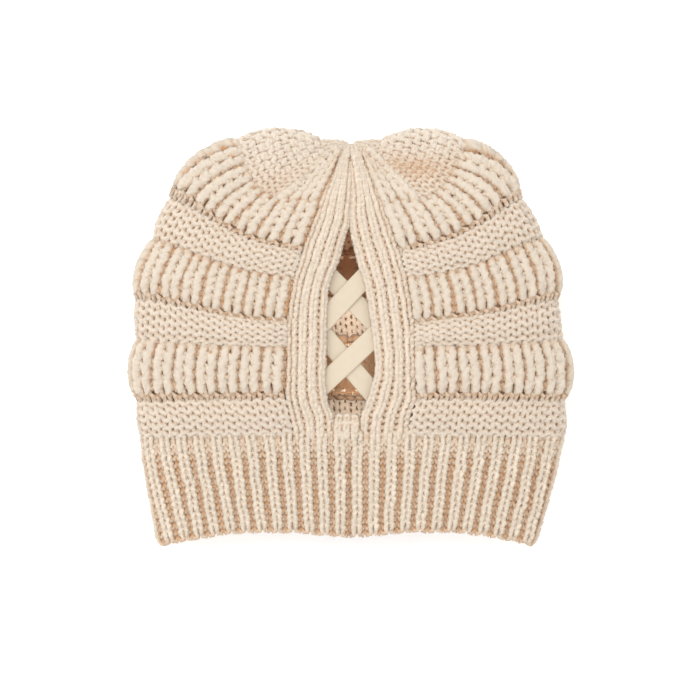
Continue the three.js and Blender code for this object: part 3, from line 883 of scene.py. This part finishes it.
def knit(name, node, lines, values, backings, crest="rib_crest", shade="rib_shade"):
    """One finished piece of knitting: its yarns on their backing."""
    settings = bpy.context.scene.ponytail_cap
    wool = crest.replace("crest", "wool")
    yarn_look = bpy.data.materials.get(wool) or yarn_material(
        wool, getattr(settings, crest), settings.painted_crevice_shade, settings.painted_pit_shade)
    backing_look = bpy.data.materials.get(shade) or backing_material(shade, getattr(settings, shade))
    tree = bpy.data.node_groups.get(YARN_TREE) or yarn_tree()
    yarn = with_tree(mesh_of_lines(name, lines), tree, {"Material": yarn_look, **values}, name)
    for mesh in backings:
        mesh.materials.append(backing_look)
    piece = join([yarn, *(new_object(name + "_backing", mesh) for mesh in backings)], name)
    for key in (*LINE_VECTORS, *LINE_VALUES, "base"):
        layer = piece.data.attributes.get(key)
        if layer:
            piece.data.attributes.remove(layer)
    dress(piece, node)


class CAP_OT_cuff(bpy.types.Operator):
    """Knit the ribbed cuff as a closed ring"""
    bl_idname = "cap.cuff"
    bl_label = "Ribbed cuff"

    stand_out, relief = 1.1, 0.6
    end = 1.05
    knit_width, purl_width = 0.73, 0.27
    first_row, rows_share, course_share = 0.042, 0.95, 0.96
    relax_from, relax_over, relaxed = 0.74, 0.2, 0.85
    backing_lift = 0.9

    def execute(self, context):
        settings = context.scene.ponytail_cap
        ribs, courses = settings.cuff_ribs, settings.cuff_courses
        panel = course_panel(0, self.end, None).evened()
        panel = panel.moved(
            HALF_WALL_OUT + self.stand_out - settings.cuff_yarn / MM - self.relief - KNIT_LIFT)
        stitches = Stitches(("cuff_knit", "cuff_purl"), (self.knit_width, self.purl_width), ribs, True)
        draw = np.random.default_rng(11)
        lines = [
            stitches.line(panel, self.first_row + self.rows_share * r, self.course_share / courses, draw,
                          self.relax(r))
            for r in rows_between(courses)]
        values = yarn_shape(self.relief, yarn_radius=settings.cuff_yarn, loop_lean=0.17, leg_gather=0.03,
                            loop_height=0.95, pit_depth=0.0004)

        def lift(row, share):
            return self.backing_lift * stitches.lift_at(share) * self.relax(row)

        backing = backing_mesh(panel, 14, ribs * 8 + 1, -0.5, lift, 0.04)
        knit("cuff_knit", "ribbed_cuff", lines, values, [backing], "cuff_crest")
        return {"FINISHED"}

    def relax(self, row):
        """How much of its ribs' depth the cuff has at a row: it lies flatter near the lower welt."""
        return 1 - self.relaxed * smooth_step((row - self.relax_from) / self.relax_over)


class CAP_OT_welts(bpy.types.Operator):
    """Knit the three welts and the crown's welt as rolls of purl stitches"""
    bl_idname = "cap.welts"
    bl_label = "Welts"

    relief = 0.2
    end_share, end_fullness, roundness = 0.03, 0.25, 0.6

    def execute(self, context):
        settings = context.scene.ponytail_cap
        draw = np.random.default_rng(23)
        for node, start, end in (("lower_welt", 1, 2), ("middle_welt", 3, 4), ("upper_welt", 5, 6)):
            self.welt(node, course_panel(start, end, border_half), 3.2, 1.2, WELT_STITCH, False, draw,
                      yarn_radius=settings.welt_yarn, pit_depth=0.0009, pit_shade=0.93)
        self.welt("crown_welt", course_panel(7, CROWN_CLOSE, crown_ribs_half), 2.8, 0.8, CROWN_STITCH, True,
                  draw, yarn_radius=settings.crown_yarn, pit_depth=0.0007, pit_shade=0.9)
        return {"FINISHED"}

    def welt(self, node, panel, bulge, tuck, stitch, tapered, draw, **inputs):
        """One welt. The rows of a tapered one have fewer stitches, and thinner yarn, where they are short."""
        panel = self.rolled(panel, bulge, tuck, inputs["yarn_radius"] / MM + self.relief)
        wale, course = stitch
        courses = self.count(panel, course)
        lines = []
        for r in rows_between(courses):
            wales = self.count_across(panel, r if tapered else 0.5, wale)
            lines.append(Stitches(("purl",), (1,), wales).line(
                panel, r, 1 / courses, draw, fit=stitch if tapered else None))
        values = yarn_shape(self.relief, loop_lean=0.13, leg_gather=0.0, loop_height=0.75, **inputs)
        knit(node + "_knit", node, lines, values, [backing_mesh(panel, 16, 161)], "purl_crest",
             "purl_shade")

    def rolled(self, panel, bulge, tuck, depth):
        """The panel puffed into a roll whose edges tuck in and whose ends close."""
        row, share = panel.grid()
        end = rounded(np.minimum(share, 1 - share) / self.end_share)
        taper = self.end_fullness + (1 - self.end_fullness) * end
        outer = HALF_WALL_OUT - tuck + (bulge + tuck) * roll(row, self.roundness) * taper
        return panel.moved(outer - depth).evened()

    def count(self, panel, course):
        """Courses of a height that fit up the panel, where it is about its mean height."""
        steps = np.linalg.norm(np.diff(panel.points, axis=0), axis=2).sum(0)
        return round(float(np.mean(steps)) / course)

    def count_across(self, panel, row, wale):
        """Stitches of a width that fit along one row of the panel."""
        line = panel.points[round(row * (len(panel.points) - 1))]
        return round(float(np.linalg.norm(np.diff(line, axis=0), axis=1).sum()) / wale)


# The wide ribs' brushed yarn
RIB_LOOK = {"plies": 6, "ply_depth": 0.05, "pit_depth": 0.0014, "pit_fineness": 1.5, "pit_reach": 0.8}


class CAP_OT_rib_bands(bpy.types.Operator):
    """Knit the three bands of wide, soft ribs"""
    bl_idname = "cap.rib_bands"
    bl_label = "Rib bands"

    # Each band's solid, first and last course, courses and the share of a rib's width in its valley
    bands = (("lower_rib_band", 2, 3, 5, 0.2), ("middle_rib_band", 4, 5, 6, 0.2),
             ("upper_rib_band", 6, 7, 6, 0.16))
    relief, tuck, puff = 0.5, 1.4, 4.0
    foot_share, head_share = 0.24, 0.14
    feet_row, feet_height = 0.08, 0.6
    first_row, rows_share = 0.12, 0.88
    stitch = (6.0, 4.8)

    def execute(self, context):
        settings = context.scene.ponytail_cap
        draw = np.random.default_rng(37)
        values = yarn_shape(self.relief, yarn_radius=settings.rib_yarn, loop_lean=0.18, leg_gather=-0.022,
                            loop_height=0.96, inside_shade=3.5, **RIB_LOOK)
        for node, start, end, courses, valley in self.bands:
            ribs = settings.upper_ribs if node == "upper_rib_band" else settings.body_ribs
            stitches = Stitches(("rib_knit", "rib_purl"), (1 - valley, valley), ribs)
            feet = Stitches(("rib_foot",), (1,), 2 * ribs)
            panel = course_panel(start - BAND_UNDERLAP, end + BAND_UNDERLAP, border_half)
            row, _ = panel.grid()
            ends = rounded(row / self.foot_share) * rounded((1 - row) / self.head_share)
            outer = HALF_WALL_OUT - self.tuck + self.puff * ends
            panel = panel.moved(outer - settings.rib_yarn / MM - self.relief - KNIT_LIFT).evened()
            lines = [
                stitches.line(panel, self.first_row + self.rows_share * r, self.rows_share / courses, draw,
                              fit=self.stitch)
                for r in rows_between(courses)]
            lines.append(feet.line(panel, self.feet_row, self.feet_height / courses, draw))
            backing = backing_mesh(panel, 10, ribs * 8 + 1, -1.5, lambda _, share: stitches.lift_at(share))
            knit(node + "_knit", node, lines, values, [backing])
        return {"FINISHED"}


class CAP_OT_border(bpy.types.Operator):
    """Knit the border round the ponytail opening"""
    bl_idname = "cap.border"
    bl_label = "Opening border"

    foot_y, top_y = -51.5, 96.0
    relief, stand_out, foot_stand_out = 0.7, 0.7, 0.5
    courses, widths = 46, (0.7, 1.1, 1.1, 1.1)
    seam = 0.6                    # between the border and the bands
    closing = 12                  # how far above the opening's point the two sides meet
    closed_half = 0.3             # half the gap where they have met
    room, room_end = (1.8, 0.7), 4
    beside = 10.0                 # from the middle, where a height is turned into a course
    inner_curl, inner_curl_share = 3.0, 0.28
    outer_curl, outer_curl_share = 2.6, 0.14
    foot_curl, foot_curl_height, foot_overlap, foot_drop, foot_wales = 1.6, 2.4, 0.8, 1.8, 3

    def execute(self, context):
        settings = context.scene.ponytail_cap
        depth = settings.border_yarn / MM
        draw = np.random.default_rng(41)
        y = np.linspace(self.foot_y, self.top_y, 90)
        middle = np.linspace(1, CROWN_CLOSE, 200)
        v = np.interp(y, upper_point(middle, np.full(200, self.beside))[:, 1], middle)
        outer = np.stack([border_half(v) - self.seam, y], -1)
        point_y = OPENING[-1, 0]
        lines, backings = [], []
        for side in (1, -1):
            stitches = Stitches(("knit",) * len(self.widths), self.widths[::side])
            edge = np.interp(y, OPENING[:, 0], OPENING[:, 2 if side > 0 else 1])
            past = np.clip((y - point_y) / self.closing, 0, 1)
            edge = np.where(past > 0, edge * (1 - past) + self.closed_half * past, edge)
            room = np.interp(y, (OPENING[-2, 0], point_y + self.room_end), self.room)
            points = self.strip(np.stack([edge + room, y], -1), outer, 121)
            if side < 0:
                points = points[:, ::-1] * np.array([-1, 1, 1])
            panel = Panel(points).moved(HALF_WALL_OUT + self.stand_out - depth - self.relief)
            lines.append(worked_flat(even_courses(stitches, panel, self.courses, draw)))
            backings.append(backing_mesh(panel, 60, 17))
        foot_lines, foot_backing = self.foot(draw, depth)
        values = yarn_shape(self.relief, yarn_radius=settings.border_yarn, loop_lean=0.18, leg_gather=0.09,
                            loop_height=0.92, pit_depth=0.0004, pit_shade=0.76)
        knit("border_knit", "opening_border", lines + foot_lines, values,
             [*backings, foot_backing], "border_crest", "purl_shade")
        return {"FINISHED"}

    def strip(self, inner, outer, rows, columns=33):
        """A strip of the upper panel between two lines of x, y, with both its edges curled down."""
        shares, across = np.linspace(0, 1, rows), np.linspace(0, 1, columns)
        inner, outer = spaced(inner, shares)[:, None], spaced(outer, shares)[:, None]
        flat = inner * (1 - across[:, None]) + outer * across[:, None]
        points = over(flat[..., 0], flat[..., 1])
        points[..., 2] -= self.inner_curl * curled(1 - across / self.inner_curl_share)
        outer_start = 1 - self.outer_curl_share
        points[..., 2] -= self.outer_curl * curled((across - outer_start) / self.outer_curl_share)
        return points

    def foot(self, draw, depth):
        """The short panel below the opening, and the chain that binds off its edge."""
        foot_of_opening, left, right = OPENING[0]
        x = np.linspace(-left - self.foot_overlap, right + self.foot_overlap, 17)
        y = np.linspace(self.foot_y, foot_of_opening - self.foot_drop, 13)
        flat_x, flat_y = np.meshgrid(x, y)
        points = over(flat_x, flat_y)
        near_edge = (flat_y - y[-1] + self.foot_curl_height) / self.foot_curl_height
        points[..., 2] -= self.foot_curl * curled(near_edge)
        panel = Panel(points).moved(HALF_WALL_OUT + self.foot_stand_out - depth - self.relief)
        backing = backing_mesh(panel, 9, 17)
        rows = even_courses(Stitches(("knit",), (1,), self.foot_wales), panel, 3, draw)
        chain = Stitches(("purl",), (1,), self.foot_wales).line(panel, 1.0, 0.22, draw)
        return [worked_flat(rows), chain], backing


class CAP_OT_crown(bpy.types.Operator):
    """Knit the crown's ribs and the gather"""
    bl_idname = "cap.crown"
    bl_label = "Crown"

    rib_courses, ribs, rib_widths = 7, 2, (0.82, 0.18)
    rib_stand_out, rib_relief, rib_stitch = 1.4, 0.4, (5.6, 4.8)
    full_width = 24               # of the two ribs, where their yarn has its full thickness
    tuck, tuck_share = 3.6, 0.22  # beside the crown's welt
    gather_stand_out, gather_relief = 0.3, 0.7
    gather_open, gather_rise, gather_shift = 0.12, 2.0, 1.6
    gather_rows = ((0.08, 16), (0.3, 14), (0.52, 11), (0.74, 8))

    def execute(self, context):
        settings = context.scene.ponytail_cap
        draw = np.random.default_rng(53)
        v = np.linspace(7, CROWN_CLOSE, 41)
        across = np.linspace(0, 1, 25)[None, :]
        near, far = border_half(v)[:, None], crown_ribs_half(v)[:, None]
        x = near + (far - near) * across
        values = yarn_shape(self.rib_relief, yarn_radius=settings.rib_yarn, loop_lean=0.17,
                            leg_gather=-0.03, loop_height=0.88, **RIB_LOOK)
        stitches = Stitches(("rib_knit", "rib_purl"), self.rib_widths, self.ribs)
        tuck = self.tuck * curled((across - (1 - self.tuck_share)) / self.tuck_share)
        deep = settings.rib_yarn / MM + self.rib_relief
        for side, node in ((1, "crown_ribs_right"), (-1, "crown_ribs_left")):
            turned = x if side > 0 else -x[:, ::-1]
            points = upper_point(np.broadcast_to(v[:, None], x.shape), turned)
            points[..., 2] -= tuck[:, ::side]
            width = np.linalg.norm(points[:, -1] - points[:, 0], axis=1)[:, None]
            narrow = np.sqrt(width / self.full_width)
            panel = Panel(points).moved(HALF_WALL_OUT + self.rib_stand_out - deep * narrow)
            line = worked_flat(even_courses(stitches, panel, self.rib_courses, draw, self.rib_stitch))
            knit(node + "_knit", node, [line], values, [backing_mesh(panel, 12, 17)])
        self.gather(settings.border_yarn, draw)
        return {"FINISHED"}

    def gather(self, yarn, draw):
        """The last course drawn together over the middle of the crown."""
        shares = np.linspace(0, 1, 121)
        rim, top = course_points(CROWN_CLOSE, None, shares), course_points(GATHER_CLOSE, None, shares)
        centre = top.mean(0)
        close = centre + (top - centre) * self.gather_open + np.array([0, self.gather_shift, 0])
        high = top + np.array([0, self.gather_rise, 0])
        grid = [rim * (1 - t) ** 2 + 2 * t * (1 - t) * high + close * t * t for t in np.linspace(0, 1, 17)]
        panel = Panel(np.array(grid), closed=True).evened()
        panel = panel.moved(HALF_WALL_OUT + self.gather_stand_out - yarn / MM - self.gather_relief)
        lines = [
            Stitches(("knit",), (1,), wales, closed=True).line(panel, r, 0.2, draw)
            for r, wales in self.gather_rows]
        values = yarn_shape(self.gather_relief, yarn_radius=yarn, loop_lean=0.18, leg_gather=0.05,
                            loop_height=0.88, pit_depth=0.0004)
        knit("gather_knit", "crown_gather", lines, values, [backing_mesh(panel, 8, 61)])


class CAP_OT_straps(bpy.types.Operator):
    """Lay the four lacing straps across the opening"""
    bl_idname = "cap.straps"
    bl_label = "Lacing straps"

    clearance = 0.35
    steps, around = 48, 20
    flat_end, turn_share = 0.04, 0.18
    edge_power, face_power = 0.5, 0.7

    def execute(self, context):
        settings = context.scene.ponytail_cap
        material = strap_material(settings.strap_colour)
        for node, (start, end, layers) in STRAPS.items():
            mesh = self.strap(node, np.array(start, float), np.array(end, float), layers,
                              settings.strap_width / MM, settings.strap_thickness / MM)
            mesh.materials.append(material)
            dress(new_object(node + "_cloth", mesh), node)
        return {"FINISHED"}

    def strap(self, name, start, end, layers, width, thickness):
        """A flat strap with rounded edges, from start to end under the upper panel."""
        steps, around = self.steps, self.around
        length = np.linalg.norm(end - start)
        ahead = (end - start) / length
        left = np.array([-ahead[1], ahead[0]])
        t = np.linspace(0, 1, steps)
        blend = smooth_step((np.minimum(t, 1 - t) - self.flat_end) / self.turn_share)
        layer = np.where(t < 0.5, layers[0], layers[2]) * (1 - blend) + layers[1] * blend
        depth = HALF_WALL_IN + self.clearance + layer * (thickness + self.clearance) + thickness / 2
        turn = np.linspace(0, 2 * math.pi, around, endpoint=False)
        section_x, section_z = (
            np.sign(wave) * np.abs(wave) ** power * size / 2 for wave, power, size in (
                (np.cos(turn), self.edge_power, width), (np.sin(turn), self.face_power, thickness)))
        middle = start + (end - start) * t[:, None]
        flat = middle[:, None] + left * section_x[None, :, None]
        points = over(flat[..., 0], flat[..., 1])
        points[..., 2] += section_z[None, :] - depth[:, None]
        starts = np.arange(steps) * around
        faces = quads(starts[:-1], starts[1:], around, True)
        faces += [tuple(range(around))[::-1], tuple(range((steps - 1) * around, steps * around))]
        mesh = smooth_mesh(name, points, faces)
        along, across = np.repeat(t * length * MM, around), np.tile(section_x * MM, steps)
        corner = np.empty(len(mesh.loops), int)
        mesh.loops.foreach_get("vertex_index", corner)
        place = mesh.uv_layers.new(name="strap")
        place.data.foreach_set("uv", np.stack([along[corner], across[corner]], -1).ravel())
        return mesh


class CAP_OT_stage(bpy.types.Operator):
    """Set the pale floor, the soft light and the camera"""
    bl_idname = "cap.stage"
    bl_label = "Stage"

    # In metres. Each lamp's name, place, target, size, watts and colour
    lamps = (
        ("soft_box", (-0.5, 0.45, 1.2), (0, 0, 0), (1.4, 1.4), 7.0, (1, 1, 1)),
        ("opening_fill", (-0.0005, -0.0095, 0.021), (-0.0005, -0.0095, 0), (0.009, 0.068), 0.0096,
         (1, 0.88, 0.78)),
        ("slit_fill", (-0.0015, 0.047, 0.03), (-0.0015, 0.047, 0), (0.003, 0.016), 0.0021, (1, 0.52, 0.32)),
    )
    floor_reach = 3.0
    camera_place, frame_width, frame_height = (-0.0005, -0.0063, 1.6), 0.3658, 0.025
    sensor = 36

    def execute(self, context):
        scene = context.scene
        mesh = bpy.data.meshes.new("studio_floor")
        corners = ((-1, -1), (1, -1), (1, 1), (-1, 1))
        mesh.from_pydata([(x * self.floor_reach, y * self.floor_reach, 0) for x, y in corners], [],
                         [(0, 1, 2, 3)])
        mesh.materials.append(floor_material(scene.ponytail_cap.floor_colour))
        new_object("studio_floor", mesh)
        for lamp in self.lamps:
            self.soft_box(*lamp)
        scene.world = bpy.data.worlds.new("studio")
        scene.world.use_nodes = True
        sky = scene.world.node_tree.nodes["Background"].inputs
        sky["Color"].default_value = (1, 1, 1, 1)
        sky["Strength"].default_value = 1.0
        scene.view_settings.view_transform = "Standard"
        view = bpy.data.cameras.new("camera")
        scene.camera = bpy.data.objects.new("camera", view)
        scene.camera.location = self.camera_place
        view.sensor_width = self.sensor
        view.lens = self.sensor * (self.camera_place[2] - self.frame_height) / self.frame_width
        scene.collection.objects.link(scene.camera)
        return {"FINISHED"}

    def soft_box(self, name, place, target, size, power, colour):
        """A rectangular lamp that the camera doesn't see."""
        lamp = bpy.data.lights.new(name, "AREA")
        lamp.shape, lamp.size, lamp.size_y, lamp.energy, lamp.color = "RECTANGLE", *size, power, colour
        light = bpy.data.objects.new(name, lamp)
        light.location = place
        light.rotation_euler = (Vector(target) - Vector(place)).to_track_quat("-Z", "Y").to_euler()
        light.visible_camera = False
        bpy.context.scene.collection.objects.link(light)


class CAP_PT_panel(bpy.types.Panel):
    bl_idname = "CAP_PT_panel"
    bl_label = "Knitted cap"
    bl_space_type = "VIEW_3D"
    bl_region_type = "UI"
    bl_category = "Knitted cap"

    def draw(self, context):
        settings = context.scene.ponytail_cap
        for key in CapSettings.__annotations__:
            self.layout.prop(settings, key)
        for operator in OPERATORS:
            self.layout.operator(operator.bl_idname)


OPERATORS = (CAP_OT_stage, CAP_OT_cuff, CAP_OT_welts, CAP_OT_rib_bands, CAP_OT_border, CAP_OT_crown,
             CAP_OT_straps)
CLASSES = (CapSettings, *OPERATORS, CAP_PT_panel)


def register():
    for cls in CLASSES:
        bpy.utils.register_class(cls)
    bpy.types.Scene.ponytail_cap = PointerProperty(type=CapSettings)


def unregister():
    del bpy.types.Scene.ponytail_cap
    for cls in reversed(CLASSES):
        bpy.utils.unregister_class(cls)


def main():
    register()
    bpy.ops.cap.stage()
    bpy.ops.cap.cuff()
    bpy.ops.cap.welts()
    bpy.ops.cap.rib_bands()
    bpy.ops.cap.border()
    bpy.ops.cap.crown()
    bpy.ops.cap.straps()


if __name__ == "__main__":
    main()
